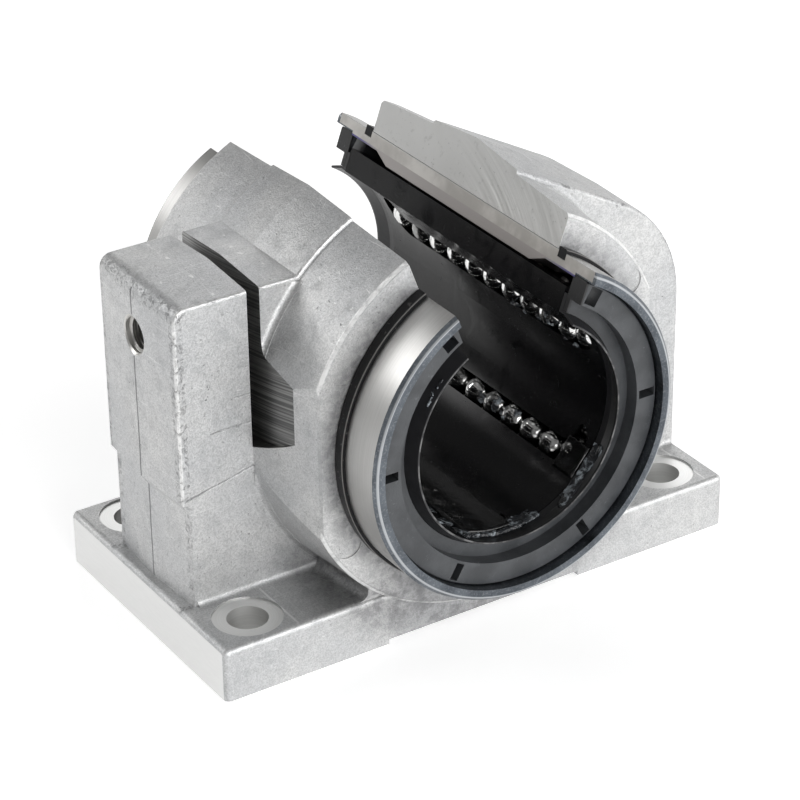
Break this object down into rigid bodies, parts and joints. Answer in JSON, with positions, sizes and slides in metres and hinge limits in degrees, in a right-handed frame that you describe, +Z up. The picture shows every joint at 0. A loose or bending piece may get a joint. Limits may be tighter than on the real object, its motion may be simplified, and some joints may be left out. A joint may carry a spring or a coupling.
{
  "type": "linear bearing block",
  "caption": "Open, adjustable linear ball bearing in a cast pillow-block housing with a foot for bolts, for a supported round shaft.",
  "frame": {"origin": "middle of the mounting face, straight below the bearing's centre", "axes": "+Y along the shaft axis, towards the rear; +Z up; +X away from the clamping column"},
  "size_m": [0.13, 0.1, 0.0942],
  "materials": {
    "cast_aluminium": "as cast, satin, machined where it seats",
    "bearing_steel": "ground",
    "black_plastic": "smooth, oiled",
    "grey_plastic": "moulded, satin",
    "seal_rubber": "moulded",
    "spring_steel": "black oxide",
    "ball_steel": "polished, greased",
    "screw_steel": "black oxide"
  },
  "bodies": {
    "bearing_block": {"housing": "cast_aluminium", "bearing_sleeve": "bearing_steel", "ball_cage": "black_plastic", "end_ring_front": "grey_plastic", "end_ring_rear": "grey_plastic", "wiper_seal_front": "seal_rubber", "wiper_seal_rear": "seal_rubber", "retaining_ring_front": "spring_steel", "retaining_ring_rear": "spring_steel", "loaded_balls_1": "ball_steel", "loaded_balls_2": "ball_steel", "loaded_balls_3": "ball_steel", "loaded_balls_4": "ball_steel", "loaded_balls_5": "ball_steel", "return_balls_1": "ball_steel", "return_balls_2": "ball_steel", "return_balls_3": "ball_steel", "return_balls_4": "ball_steel", "return_balls_5": "ball_steel"},
    "adjusting_screw": {"adjusting_screw": "screw_steel"}
  },
  "joints": [
    {"name": "adjusting_screw_travel", "type": "slide", "parent": "bearing_block", "child": "adjusting_screw", "axis": [-1, 0, 0], "range_m": [0, 0.0125]}
  ]
}
